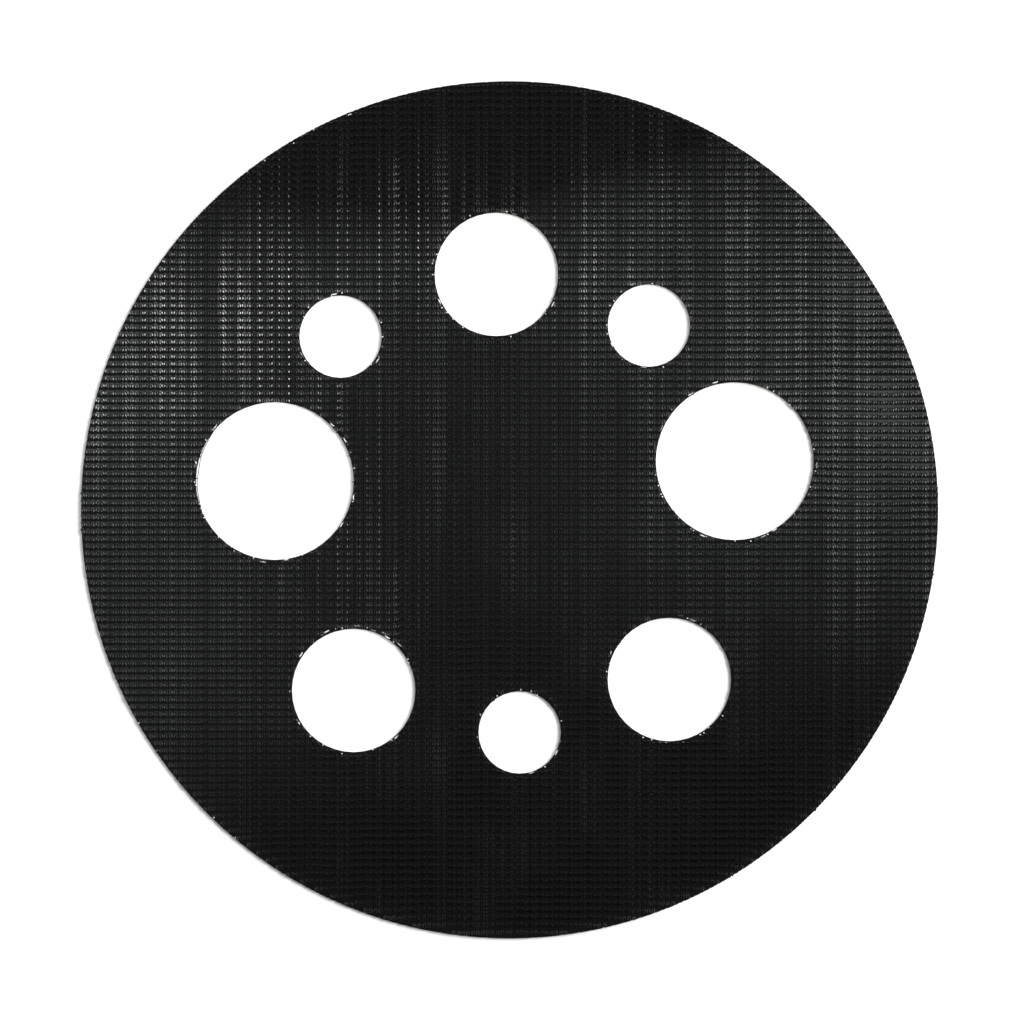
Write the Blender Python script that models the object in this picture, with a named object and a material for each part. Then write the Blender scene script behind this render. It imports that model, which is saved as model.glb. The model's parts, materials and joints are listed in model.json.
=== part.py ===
"""Self-adhesive hook facing disc for the pad of a 125 mm random-orbit sander.

The disc lies as it is sold: hooks up (+Z) and adhesive down, on a release liner that is slit
across the middle so that each half peels off outwards. Every layer is die-cut to one outline
with eight dust holes. The rows of hooks run along X.

Metres, +Z up. The origin is on the bench, under the middle of the disc.
"""

from math import cos, pi, radians, sin
from typing import NamedTuple

import bmesh
import bpy
from mathutils import Matrix, Vector

MM = 0.001

# Driving sizes
DISC_DIAMETER = 125.0 * MM
SMALL_HOLE = 12.0 * MM
MEDIUM_HOLE = 18.0 * MM
LARGE_HOLE = 23.0 * MM
LINER_SLIT = 0.3 * MM

LINER_THICKNESS = 0.12 * MM
ADHESIVE_THICKNESS = 0.15 * MM
COATING_THICKNESS = 0.20 * MM
GROUND_THICKNESS = 0.40 * MM
PILE_HEIGHT = 1.15 * MM
LAYER_GAP = 0.02 * MM

# Flats of each round outline
RIM_FLATS = 96
HOLE_FLATS = {SMALL_HOLE: 32, MEDIUM_HOLE: 40, LARGE_HOLE: 48}

WELD_DISTANCE = 0.001 * MM
CUTTER_MARGIN = 5.0 * MM


class DustHole(NamedTuple):
    """A round hole, placed by its angle from +X and its distance from the disc's middle."""

    angle: float
    reach: float
    diameter: float

    @property
    def centre(self) -> Vector:
        return Vector((self.reach * cos(self.angle), self.reach * sin(self.angle)))


# One punching serves five-hole and eight-hole pads: a large hole spans a hole of each pattern, a
# medium one two that nearly meet, and a small one belongs to the eight-hole pattern alone. The
# punch stands about half a millimetre off the middle, so the reach differs from hole to hole.
DUST_HOLES = (
    DustHole(radians(12.2), 33.6 * MM, LARGE_HOLE),
    DustHole(radians(52.9), 33.7 * MM, SMALL_HOLE),
    DustHole(radians(93.2), 34.4 * MM, MEDIUM_HOLE),
    DustHole(radians(134.3), 35.3 * MM, SMALL_HOLE),
    DustHole(radians(173.0), 34.5 * MM, LARGE_HOLE),
    DustHole(radians(229.2), 34.8 * MM, MEDIUM_HOLE),
    DustHole(radians(272.6), 32.5 * MM, SMALL_HOLE),
    DustHole(radians(313.3), 34.0 * MM, MEDIUM_HOLE),
)


def clear_scene() -> None:
    """Remove every object that the file opened with."""
    for old in list(bpy.data.objects):
        bpy.data.objects.remove(old)


def new_collection(name: str) -> bpy.types.Collection:
    """Make a collection under the scene's own."""
    collection = bpy.data.collections.new(name)
    bpy.context.scene.collection.children.link(collection)
    return collection


def finish(name: str, colour: tuple[float, float, float], roughness: float) -> bpy.types.Material:
    """Make a plain non-metal material."""
    made = bpy.data.materials.new(name)
    made.use_nodes = True
    shader = made.node_tree.nodes["Principled BSDF"]
    shader.inputs["Base Color"].default_value = (*colour, 1.0)
    shader.inputs["Roughness"].default_value = roughness
    shader.inputs["Metallic"].default_value = 0.0
    return made


def add_circle(curve: bpy.types.Curve, centre: Vector, diameter: float, flats: int) -> None:
    """Add a closed round outline of straight flats to a flat curve."""
    spline = curve.splines.new("POLY")
    spline.points.add(flats - 1)
    for step, point in enumerate(spline.points):
        turn = 2 * pi * step / flats
        x = centre.x + diameter / 2 * cos(turn)
        y = centre.y + diameter / 2 * sin(turn)
        point.co = (x, y, 0.0, 1.0)
    spline.use_cyclic_u = True


def punched_sheet(
    name: str,
    bottom: float,
    thickness: float,
    material: bpy.types.Material,
    collection: bpy.types.Collection,
) -> bpy.types.Object:
    """Make one die-cut layer: the round blank with its eight dust holes, as a closed mesh."""
    outline = bpy.data.curves.new(name, "CURVE")
    outline.dimensions = "2D"
    outline.fill_mode = "BOTH"
    outline.extrude = thickness / 2
    add_circle(outline, Vector((0.0, 0.0)), DISC_DIAMETER, RIM_FLATS)
    for hole in DUST_HOLES:
        add_circle(outline, hole.centre, hole.diameter, HOLE_FLATS[hole.diameter])

    blank = bpy.data.objects.new(name + "_outline", outline)
    collection.objects.link(blank)
    evaluated = blank.evaluated_get(bpy.context.evaluated_depsgraph_get())
    mesh = bpy.data.meshes.new_from_object(evaluated)
    bpy.data.objects.remove(blank)
    bpy.data.curves.remove(outline)

    body = bmesh.new()
    body.from_mesh(mesh)
    bmesh.ops.remove_doubles(body, verts=body.verts, dist=WELD_DISTANCE)
    bmesh.ops.recalc_face_normals(body, faces=body.faces)
    body.to_mesh(mesh)
    body.free()
    mesh.name = name
    mesh.materials.clear()
    mesh.materials.append(material)

    layer = bpy.data.objects.new(name, mesh)
    layer.location.z = bottom + thickness / 2
    collection.objects.link(layer)
    return layer


def side_cutter(name: str, side: int, collection: bpy.types.Collection) -> bpy.types.Object:
    """Make the box that leaves only one side of the liner, and half of the slit beside it.

    side is -1 for a cutter that leaves the left half, and +1 for the right half.
    """
    width = DISC_DIAMETER / 2 + CUTTER_MARGIN + LINER_SLIT / 2
    length = DISC_DIAMETER + 2 * CUTTER_MARGIN
    middle = Vector((-side * (width / 2 - LINER_SLIT / 2), 0.0, 0.0))
    size = Matrix.Diagonal((width, length, 2 * CUTTER_MARGIN, 1.0))
    mesh = bpy.data.meshes.new(name)
    box = bmesh.new()
    bmesh.ops.create_cube(box, size=1.0, matrix=Matrix.Translation(middle) @ size)
    box.to_mesh(mesh)
    box.free()
    cutter = bpy.data.objects.new(name, mesh)
    cutter.hide_render = True
    cutter.display_type = "WIRE"
    collection.objects.link(cutter)
    return cutter


def liner_half(
    name: str,
    side: int,
    material: bpy.types.Material,
    parts: bpy.types.Collection,
    cutters: bpy.types.Collection,
) -> bpy.types.Object:
    """Make the half of the release liner on one side of the slit."""
    half = punched_sheet(name, 0.0, LINER_THICKNESS, material, parts)
    cut = half.modifiers.new("slit", "BOOLEAN")
    cut.operation = "DIFFERENCE"
    cut.object = side_cutter(name + "_cutter", side, cutters)
    return half


def main() -> None:
    """Build the liner's halves and the facing's layers, from the bench up."""
    clear_scene()
    parts = new_collection("hook_facing_disc")
    cutters = new_collection("cutters")

    paper = finish("siliconised_paper", (0.74, 0.66, 0.47), 0.45)
    glue = finish("clear_adhesive", (0.62, 0.58, 0.46), 0.25)
    binder = finish("binder_coating", (0.020, 0.020, 0.021), 0.60)
    ground = finish("woven_nylon_ground", (0.008, 0.008, 0.008), 0.85)
    hooks = finish("nylon_hooks", (0.012, 0.012, 0.013), 0.45)

    liner_half("release_liner_left", -1, paper, parts, cutters)
    liner_half("release_liner_right", 1, paper, parts, cutters)

    bottom = LINER_THICKNESS + LAYER_GAP
    layers = (
        ("adhesive_film", ADHESIVE_THICKNESS, glue),
        ("back_coating", COATING_THICKNESS, binder),
        ("woven_ground", GROUND_THICKNESS, ground),
        ("hook_pile", PILE_HEIGHT, hooks),
    )
    for name, thickness, material in layers:
        punched_sheet(name, bottom, thickness, material, parts)
        bottom += thickness + LAYER_GAP


main()
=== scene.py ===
"""Looks of a self-adhesive hook facing disc for the pad of a 125 mm random-orbit sander.

The disc lies hooks up on its slit release liner. Every hook is a mesh of its own, woven in rows
along X; the ground they stand on is a ribbed cloth, and the layers behind it show at the rims.
Sizes are in metres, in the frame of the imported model.
"""

import json
import logging
from dataclasses import dataclass, field
from enum import Enum, IntEnum
from math import cos, pi, radians, sin, tau
from typing import Any, Mapping, Optional, Sequence, Union

import bmesh
import bpy
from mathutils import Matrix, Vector

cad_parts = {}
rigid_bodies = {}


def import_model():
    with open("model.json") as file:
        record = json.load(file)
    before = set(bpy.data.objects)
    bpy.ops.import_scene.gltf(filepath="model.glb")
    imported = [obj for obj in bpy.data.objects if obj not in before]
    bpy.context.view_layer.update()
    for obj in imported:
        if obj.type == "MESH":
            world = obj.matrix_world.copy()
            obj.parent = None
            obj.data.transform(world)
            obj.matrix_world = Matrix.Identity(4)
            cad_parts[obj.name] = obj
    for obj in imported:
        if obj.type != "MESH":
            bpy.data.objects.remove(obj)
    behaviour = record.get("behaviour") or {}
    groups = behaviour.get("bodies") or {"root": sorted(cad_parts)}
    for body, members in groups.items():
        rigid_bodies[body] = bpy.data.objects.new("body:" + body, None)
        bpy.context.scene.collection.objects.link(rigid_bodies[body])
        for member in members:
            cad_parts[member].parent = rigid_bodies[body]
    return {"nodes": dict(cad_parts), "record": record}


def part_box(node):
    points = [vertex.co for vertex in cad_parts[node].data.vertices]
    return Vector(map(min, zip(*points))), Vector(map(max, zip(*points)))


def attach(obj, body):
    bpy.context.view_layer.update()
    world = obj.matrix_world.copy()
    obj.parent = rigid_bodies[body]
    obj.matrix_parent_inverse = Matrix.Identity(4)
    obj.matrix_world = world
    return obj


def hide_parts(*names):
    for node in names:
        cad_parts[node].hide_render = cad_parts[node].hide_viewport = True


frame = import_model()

log = logging.getLogger("hook_facing")

MM = 0.001
SEED = 7
BODY = "facing"

BAKE_MAP = "OFBake"
CELL_MARGIN = 0.06
CAP_REACH = 0.48
CAPS = 2

# A filament's first corner points this way, as far as its own direction lets it.
FIRST_CORNER = Vector((0.0, -0.6, 0.8))


class Layer(Enum):
    """A layer of the disc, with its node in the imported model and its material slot."""

    LINER_LEFT = ("release_liner_left", "release_liner")
    LINER_RIGHT = ("release_liner_right", "release_liner")
    ADHESIVE = ("adhesive_film", "adhesive")
    COATING = ("back_coating", "back_coating")
    GROUND = ("woven_ground", "woven_ground")
    PILE = ("hook_pile", "hooks")

    @property
    def node(self) -> str:
        """The node's name."""
        return self.value[0]

    @property
    def slot(self) -> str:
        """The material slot's name."""
        return self.value[1]


class Draw(IntEnum):
    """What is drawn at random, with the step from the fixed seed to its own."""

    TWIST = 0
    NOD = 1
    HEIGHT = 2
    LOOSENESS = 3
    SHINE = 4
    WANDER = 5
    SIDE_SHINE = 6
    END_LEFT_OUT = 9
    END_LEAN = 10
    END_PALENESS = 11
    END_HEIGHT = 12
    END_FORM = 13
    EDGE_TURN = 20
    EDGE_DEPTH = 21


@dataclass(frozen=True)
class Weave:
    """The pitches of the rows and the columns that the facing is woven in."""

    row: float = 1.064 * MM
    column: float = 0.711 * MM


# ---------------------------------------------------------------- node graphs


class Number:
    """A number in a node tree, with arithmetic that adds Math nodes to the tree."""

    def __init__(self, graph: "Graph", socket: bpy.types.NodeSocket) -> None:
        """Wrap an output socket of a graph."""
        self.graph = graph
        self.socket = socket

    def __add__(self, other: "Term") -> "Number":
        """Add."""
        return self.graph.maths("ADD", self, other)

    __radd__ = __add__

    def __sub__(self, other: "Term") -> "Number":
        """Subtract another from this."""
        return self.graph.maths("SUBTRACT", self, other)

    def __rsub__(self, other: "Term") -> "Number":
        """Subtract this from another."""
        return self.graph.maths("SUBTRACT", other, self)

    def __mul__(self, other: "Term") -> "Number":
        """Multiply."""
        return self.graph.maths("MULTIPLY", self, other)

    __rmul__ = __mul__

    def __truediv__(self, other: "Term") -> "Number":
        """Divide this by another."""
        return self.graph.maths("DIVIDE", self, other)

    def __rtruediv__(self, other: "Term") -> "Number":
        """Divide another by this."""
        return self.graph.maths("DIVIDE", other, self)

    def __mod__(self, other: "Term") -> "Number":
        """Take what is left over after dividing by another."""
        return self.graph.maths("FLOORED_MODULO", self, other)

    def __pow__(self, other: "Term") -> "Number":
        """Raise to a power."""
        return self.graph.maths("POWER", self, other)

    def __lt__(self, other: "Term") -> "Number":
        """Give 1 where this is smaller, and 0 elsewhere."""
        return self.graph.maths("LESS_THAN", self, other)

    def __gt__(self, other: "Term") -> "Number":
        """Give 1 where this is larger, and 0 elsewhere."""
        return self.graph.maths("GREATER_THAN", self, other)

    def floor(self) -> "Number":
        """Round down."""
        return self.graph.maths("FLOOR", self)

    def cos(self) -> "Number":
        """Take the cosine of an angle in radians."""
        return self.graph.maths("COSINE", self)

    def least(self, other: "Term") -> "Number":
        """Take the smaller of two numbers."""
        return self.graph.maths("MINIMUM", self, other)

    def most(self, other: "Term") -> "Number":
        """Take the larger of two numbers."""
        return self.graph.maths("MAXIMUM", self, other)

    def ramp(self, low: float, high: float) -> "Number":
        """Go smoothly from 0 to 1.

        Args:
            low: where it leaves 0.
            high: where it reaches 1.

        Returns:
            The share of the way.
        """
        return self.graph.node(
            "ShaderNodeMapRange",
            {"interpolation_type": "SMOOTHSTEP"},
            {"Value": self, "From Min": low, "From Max": high},
        ).number("Result")


Term = Union[Number, float, int]


class Step:
    """A node that has been added to a graph."""

    def __init__(self, graph: "Graph", made: bpy.types.Node) -> None:
        """Wrap a node of a graph."""
        self.graph = graph
        self.made = made

    def out(self, name: Union[str, int] = 0) -> bpy.types.NodeSocket:
        """Give an output socket by its name or its place."""
        return self.made.outputs[name]

    def number(self, name: Union[str, int] = 0) -> Number:
        """Give an output socket as a number to reckon with."""
        return Number(self.graph, self.made.outputs[name])


class Graph:
    """Adds and links the nodes of one node tree."""

    def __init__(self, tree: bpy.types.NodeTree) -> None:
        """Wrap a node tree."""
        self.tree = tree

    def node(
        self,
        kind: str,
        settings: Optional[Mapping[str, Any]] = None,
        sockets: Optional[Mapping[Union[str, int], Any]] = None,
    ) -> Step:
        """Add a node.

        Args:
            kind: the node's type.
            settings: its properties, set before its sockets.
            sockets: values or links for its inputs, by name or place.

        Returns:
            The node, ready to give its outputs.
        """
        made = self.tree.nodes.new(kind)
        for name, value in (settings or {}).items():
            setattr(made, name, value)
        for name, value in (sockets or {}).items():
            self.feed(made.inputs[name], value)
        return Step(self, made)

    def feed(self, socket: bpy.types.NodeSocket, value: Any) -> None:
        """Link or set an input.

        Args:
            socket: the input.
            value: a socket, number or step to link to it, or a plain value.
        """
        if isinstance(value, Step):
            value = value.out()
        if isinstance(value, Number):
            value = value.socket
        if isinstance(value, bpy.types.NodeSocket):
            self.tree.links.new(value, socket)
        else:
            socket.default_value = value

    def maths(self, operation: str, *values: Term) -> Number:
        """Add a Math node on up to three values."""
        return self.node("ShaderNodeMath", {"operation": operation}, dict(enumerate(values))).number()

    def vectors(self, operation: str, *values: Any) -> Step:
        """Add a Vector Math node on its values."""
        return self.node("ShaderNodeVectorMath", {"operation": operation}, dict(enumerate(values)))

    def vector(self, x: Term = 0.0, y: Term = 0.0, z: Term = 0.0) -> Step:
        """Join three numbers into a vector."""
        return self.node("ShaderNodeCombineXYZ", None, {"X": x, "Y": y, "Z": z})

    def parts(self, vector: Any) -> tuple[Number, Number, Number]:
        """Part a vector into its three numbers."""
        split = self.node("ShaderNodeSeparateXYZ", None, {"Vector": vector})
        return split.number("X"), split.number("Y"), split.number("Z")

    def noise(self, at: Any, scale: float, detail: float = 2.0, rough: float = 0.5) -> Number:
        """Read a smooth noise.

        Args:
            at: the place's vector.
            scale: how fine the noise is.
            detail: how many finer noises are added to it.
            rough: how much each of those adds.

        Returns:
            The noise, from about 0 to 1.
        """
        return self.node(
            "ShaderNodeTexNoise", None,
            {"Vector": at, "Scale": scale, "Detail": detail, "Roughness": rough},
        ).number(0)


# ---------------------------------------------------------------- finishes


@dataclass(frozen=True)
class Finish:
    """A plain non-metal finish, which other finishes vary."""

    name: str
    colour: tuple[float, float, float]
    roughness: float
    ior: float = 1.5
    gloss: float = 0.5

    def material(self) -> bpy.types.Material:
        """Make the material and dress its surface.

        Returns:
            The material.
        """
        made = bpy.data.materials.new(self.name)
        made.use_nodes = True
        shader = made.node_tree.nodes["Principled BSDF"]
        shader.inputs["Base Color"].default_value = (*self.colour, 1.0)
        shader.inputs["Roughness"].default_value = self.roughness
        shader.inputs["IOR"].default_value = self.ior
        shader.inputs["Specular IOR Level"].default_value = self.gloss
        self.dress(Graph(made.node_tree), shader)
        return made

    def dress(self, graph: Graph, shader: bpy.types.Node) -> None:
        """Vary the surface. A plain finish has nothing to add.

        Args:
            graph: the material's nodes.
            shader: the surface's shader.
        """

    @staticmethod
    def place(graph: Graph) -> bpy.types.NodeSocket:
        """Give the point being shaded, in the object's own coordinates."""
        return graph.node("ShaderNodeTexCoord").out("Object")

    @staticmethod
    def mix(graph: Graph, share: Term, first: Any, second: Any) -> bpy.types.NodeSocket:
        """Blend two colours.

        Args:
            graph: the graph that the nodes are added to.
            share: how much of the second there is, from 0 to 1.
            first: a plain colour, or a socket that gives one.
            second: the same.

        Returns:
            The socket that gives the blend.
        """
        # A Mix node's share is its input 0, its colours are inputs 6 and 7, and its output 2.
        sockets = {0: share}
        for place, colour in ((6, first), (7, second)):
            sockets[place] = (*colour, 1.0) if isinstance(colour, tuple) else colour
        return graph.node("ShaderNodeMix", {"data_type": "RGBA"}, sockets).out(2)

    @staticmethod
    def bump(graph: Graph, shader: bpy.types.Node, height: Number, depth: float) -> None:
        """Raise the surface by a height of 0 to 1 times a depth in metres."""
        raised = graph.node("ShaderNodeBump", None, {"Distance": depth, "Height": height})
        graph.feed(shader.inputs["Normal"], raised)


@dataclass(frozen=True)
class Patch:
    """A round patch of the face, placed and sized in shares of the disc's radius."""

    x: float
    y: float
    reach: float
    strength: float


@dataclass(frozen=True)
class UseAndSheen:
    """Where the face has dust and painted sheen, less of it at the top rim, and where the hooks get
    painted glints and polish.
    """

    radius: float
    even_mark: float = 0.05
    even_scale: float = 70.0
    cloud_scale: float = 150.0
    heaviest: float = 1.3
    # Zones of dust and painted sheen, where the lamps' sheen on the hooks is painted into their colour;
    # the negative ones keep the top rim darker.
    dust_and_sheen_zones: tuple[Patch, ...] = (
        Patch(0.84, 0.46, 0.40, 1.10),
        Patch(0.98, 0.02, 0.34, 0.50),
        Patch(-0.98, 0.32, 0.34, 1.00),
        Patch(-0.60, 0.50, 0.26, 0.16),
        Patch(-0.34, 0.56, 0.24, 0.40),
        Patch(0.26, 0.60, 0.25, 0.56),
        Patch(0.46, -0.02, 0.26, 0.26),
        Patch(-0.84, -0.30, 0.36, 0.44),
        Patch(-0.04, 0.10, 0.40, 0.08),
        Patch(-0.40, 0.92, 0.24, -0.60),
        Patch(0.00, 1.00, 0.26, -0.60),
        Patch(0.32, 0.98, 0.20, -0.50),
    )
    # Zones of painted glints on the hooks, where they also get a lower roughness.
    rubbed: tuple[Patch, ...] = (
        Patch(-0.62, 0.46, 0.22, 1.00),
        Patch(-0.96, 0.34, 0.22, 1.00),
        Patch(0.13, 0.57, 0.14, 0.60),
        Patch(-0.22, 0.64, 0.15, 0.45),
        Patch(0.82, 0.30, 0.42, 0.22),
        Patch(0.50, 0.68, 0.30, 0.18),
        Patch(-0.45, -0.02, 0.28, 0.18),
    )

    def level(self, graph: Graph, patches: Sequence[Patch], x: Number, y: Number) -> Number:
        """Add up patches at a place, over a faint even mark.

        Args:
            graph: the graph that the nodes are added to.
            patches: the patches.
            x: the place's distance from the disc's middle along the rows.
            y: its distance from the middle along the columns.

        Returns:
            The level, from 0 to a little over 1.
        """
        even = graph.noise(graph.vector(x, y, 0.17), self.even_scale)
        total = even.ramp(0.35, 0.75) * self.even_mark
        for patch in patches:
            across = (x - patch.x * self.radius) / (patch.reach * self.radius)
            up = (y - patch.y * self.radius) / (patch.reach * self.radius)
            total = total + graph.maths("EXPONENT", (across * across + up * up) * -1.0) * patch.strength
        return total.most(0.0).least(self.heaviest)

    def dust(self, graph: Graph, x: Number, y: Number) -> Number:
        """Reckon the level of dust and painted sheen at a place, from 0 to 1, with light and dark
        clouds.
        """
        cloudy = graph.noise(graph.vector(x, y, 0.41), self.cloud_scale, 3.0) * 0.7 + 0.65
        return self.level(graph, self.dust_and_sheen_zones, x, y) * cloudy

    def rub_and_glint(self, graph: Graph, x: Number, y: Number) -> Number:
        """Reckon how strong the hooks' polish and painted glints are at a place, from 0 to 1."""
        return self.level(graph, self.rubbed, x, y)


@dataclass(frozen=True)
class HookFinish(Finish):
    """Black nylon monofilament, with dust and painted sheen in places, and painted glints on cut ends
    and marked points.
    """

    # The first colour below is that of the painted glints, the second that of dust with painted sheen.
    pale_colour: tuple[float, float, float] = (0.80, 0.81, 0.81)
    dust_and_sheen_colour: tuple[float, float, float] = (0.212, 0.225, 0.222)
    polished_roughness: float = 0.22
    cloth_level: float = 0.93 * MM
    feet_end: float = 0.15 * MM
    crown_start: float = 0.80 * MM
    foot_dust_and_sheen: float = 1.30
    crown_dust_and_sheen: float = 0.20

    def dress(self, graph: Graph, shader: bpy.types.Node) -> None:
        """Tint each filament with dust and painted sheen, and paint glints on its cut ends and marked
        points.

        Args:
            graph: the material's nodes.
            shader: the surface's shader.
        """
        marks = [
            graph.node("ShaderNodeAttribute", {"attribute_name": name}).number("Fac")
            for name in ("dust", "polish", "rubbed", "cut_end", "mark")
        ]
        dust, polish, rubbed, cut, mark = marks
        _, _, z = graph.parts(self.place(graph))
        # Dust and painted sheen are heaviest at the feet and faint on the crowns.
        height = (z - self.cloth_level).ramp(self.feet_end, self.crown_start)
        dust_and_sheen_share = dust * (self.foot_dust_and_sheen - height * (self.foot_dust_and_sheen - self.crown_dust_and_sheen))
        side = self.mix(graph, dust_and_sheen_share, self.colour, self.dust_and_sheen_colour)
        # Painted glints: pale on the cut ends, and on the marked points of the hooks.
        pale = (polish * cut).most(rubbed * mark)
        graph.feed(shader.inputs["Base Color"], self.mix(graph, pale, side, self.pale_colour))
        roughness = self.roughness - polish * (self.roughness - self.polished_roughness)
        graph.feed(shader.inputs["Roughness"], roughness)


@dataclass(frozen=True)
class WeaveFinish(Finish):
    """Tight black nylon cloth, with ribs along the rows and fine fibres in each yarn."""

    use_and_sheen: UseAndSheen = field(kw_only=True)
    weave: Weave = Weave()
    row_offset: float = 0.12 * MM
    fibre_scale: float = 4000.0
    relief: float = 0.05 * MM
    dust_and_sheen_colour: tuple[float, float, float] = (0.058, 0.061, 0.060)

    def dress(self, graph: Graph, shader: bpy.types.Node) -> None:
        """Draw the yarns over and under each other, with dust and painted sheen in a band along each
        row.

        Args:
            graph: the material's nodes.
            shader: the surface's shader.
        """
        at = self.place(graph)
        x, y, _ = graph.parts(at)
        per_row, per_column = tau / self.weave.row, tau / self.weave.column
        yarns = ((x * per_column).cos() * (y * per_row).cos()) * 0.5 + 0.5
        fibres = graph.noise(graph.vectors("MULTIPLY", at, (1.0, 6.0, 6.0)), self.fibre_scale)
        dust = self.use_and_sheen.dust(graph, x, y)
        # Dust and painted sheen lie in a band along each row, none in the grooves between the rows.
        rib = ((y - self.row_offset) * per_row).cos() * 0.5 + 0.5
        dust_and_sheen_share = dust * rib.ramp(0.15, 0.95) * (fibres * 0.6 + 0.4)
        graph.feed(shader.inputs["Base Color"], self.mix(graph, dust_and_sheen_share, self.colour, self.dust_and_sheen_colour))
        self.bump(graph, shader, yarns * 0.7 + fibres * 0.3, self.relief)


@dataclass(frozen=True)
class BinderFinish(Finish):
    """Matt binder that was spread on the cloth's back, with a fine grain."""

    grain_scale: float = 2600.0
    cloud_scale: float = 140.0
    relief: float = 0.03 * MM
    light_colour: tuple[float, float, float] = (0.035, 0.035, 0.037)

    def dress(self, graph: Graph, shader: bpy.types.Node) -> None:
        """Mottle the binder and roughen it.

        Args:
            graph: the material's nodes.
            shader: the surface's shader.
        """
        at = self.place(graph)
        grain = graph.noise(at, self.grain_scale, 3.0, 0.6)
        cloudy = graph.noise(at, self.cloud_scale)
        colour = self.mix(graph, cloudy * grain, self.colour, self.light_colour)
        graph.feed(shader.inputs["Base Color"], colour)
        self.bump(graph, shader, grain, self.relief)


@dataclass(frozen=True)
class AdhesiveFinish(Finish):
    """Tacky film, with small bubbles and cloudy flow marks."""

    cloud_scale: float = 90.0
    bubble_scale: float = 700.0
    relief: float = 0.01 * MM
    cloudy_colour: tuple[float, float, float] = (0.74, 0.71, 0.62)

    def dress(self, graph: Graph, shader: bpy.types.Node) -> None:
        """Cloud the film, and let the bubbles show as spots with less gloss.

        Args:
            graph: the material's nodes.
            shader: the surface's shader.
        """
        at = self.place(graph)
        cloudy = graph.noise(at, self.cloud_scale, 3.0).ramp(0.35, 0.70)
        cell = graph.node("ShaderNodeTexVoronoi", None, {"Vector": at, "Scale": self.bubble_scale})
        bubble = 1.0 - cell.number("Distance").ramp(0.10, 0.22)
        colour = self.mix(graph, cloudy * 0.7 + bubble * 0.3, self.colour, self.cloudy_colour)
        graph.feed(shader.inputs["Base Color"], colour)
        graph.feed(shader.inputs["Roughness"], bubble * 0.3 + cloudy * 0.12 + self.roughness)
        self.bump(graph, shader, bubble * 0.6 + cloudy * 0.4, self.relief)


@dataclass(frozen=True)
class PaperFinish(Finish):
    """Siliconised kraft paper: long fibres, a cloudy formation and a satin face."""

    along_scale: float = 900.0
    across_scale: float = 1300.0
    cloud_scale: float = 160.0
    speck_scale: float = 1500.0
    relief: float = 0.006 * MM
    dark_colour: tuple[float, float, float] = (0.30, 0.22, 0.11)
    pale_colour: tuple[float, float, float] = (0.64, 0.54, 0.36)

    def dress(self, graph: Graph, shader: bpy.types.Node) -> None:
        """Lay the fibres along the web and across it, over a cloudy formation.

        Args:
            graph: the material's nodes.
            shader: the surface's shader.
        """
        at = self.place(graph)
        thin, narrow = (
            graph.vectors("MULTIPLY", at, stretch) for stretch in ((6.0, 1.0, 1.0), (1.0, 5.0, 1.0))
        )
        along = graph.noise(thin, self.along_scale, 4.0, 0.6)
        across = graph.noise(narrow, self.across_scale, 4.0, 0.6)
        cloudy = graph.noise(at, self.cloud_scale, 3.0)
        fibre = (along * 0.6 + across * 0.4).ramp(0.36, 0.64)
        speck = graph.noise(at, self.speck_scale, 1.0).ramp(0.70, 0.76)
        body = self.mix(graph, fibre * 0.6 + cloudy * 0.4, self.colour, self.pale_colour)
        graph.feed(shader.inputs["Base Color"], self.mix(graph, speck * 0.6, body, self.dark_colour))
        graph.feed(shader.inputs["Roughness"], fibre * 0.12 + self.roughness)
        self.bump(graph, shader, fibre * 0.7 + cloudy * 0.3, self.relief)


@dataclass(frozen=True)
class Finishes:
    """The finishes of every layer, with dust, painted sheen and painted glints on the face."""

    use_and_sheen: UseAndSheen
    hooks: Finish = HookFinish("black_nylon_hooks", (0.0100, 0.0104, 0.0103), 0.50, 1.53, 0.25)
    binder: Finish = BinderFinish("matt_binder", (0.016, 0.016, 0.017), 0.65)
    adhesive: Finish = AdhesiveFinish("tacky_adhesive", (0.60, 0.55, 0.43), 0.22, 1.47)
    paper: Finish = PaperFinish("siliconised_kraft", (0.50, 0.40, 0.24), 0.46)
    floor: Finish = Finish("studio_floor", (0.92, 0.92, 0.92), 0.90)

    @property
    def ground(self) -> Finish:
        """The cloth's finish, with dust and painted sheen."""
        return WeaveFinish("woven_nylon_ground", (0.0057, 0.0060, 0.0059), 0.90, 1.5, 0.08, use_and_sheen=self.use_and_sheen)


# ---------------------------------------------------------------- the die-cut outline


@dataclass(frozen=True)
class Circle:
    """A round edge of the outline."""

    x: float
    y: float
    radius: float


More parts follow.
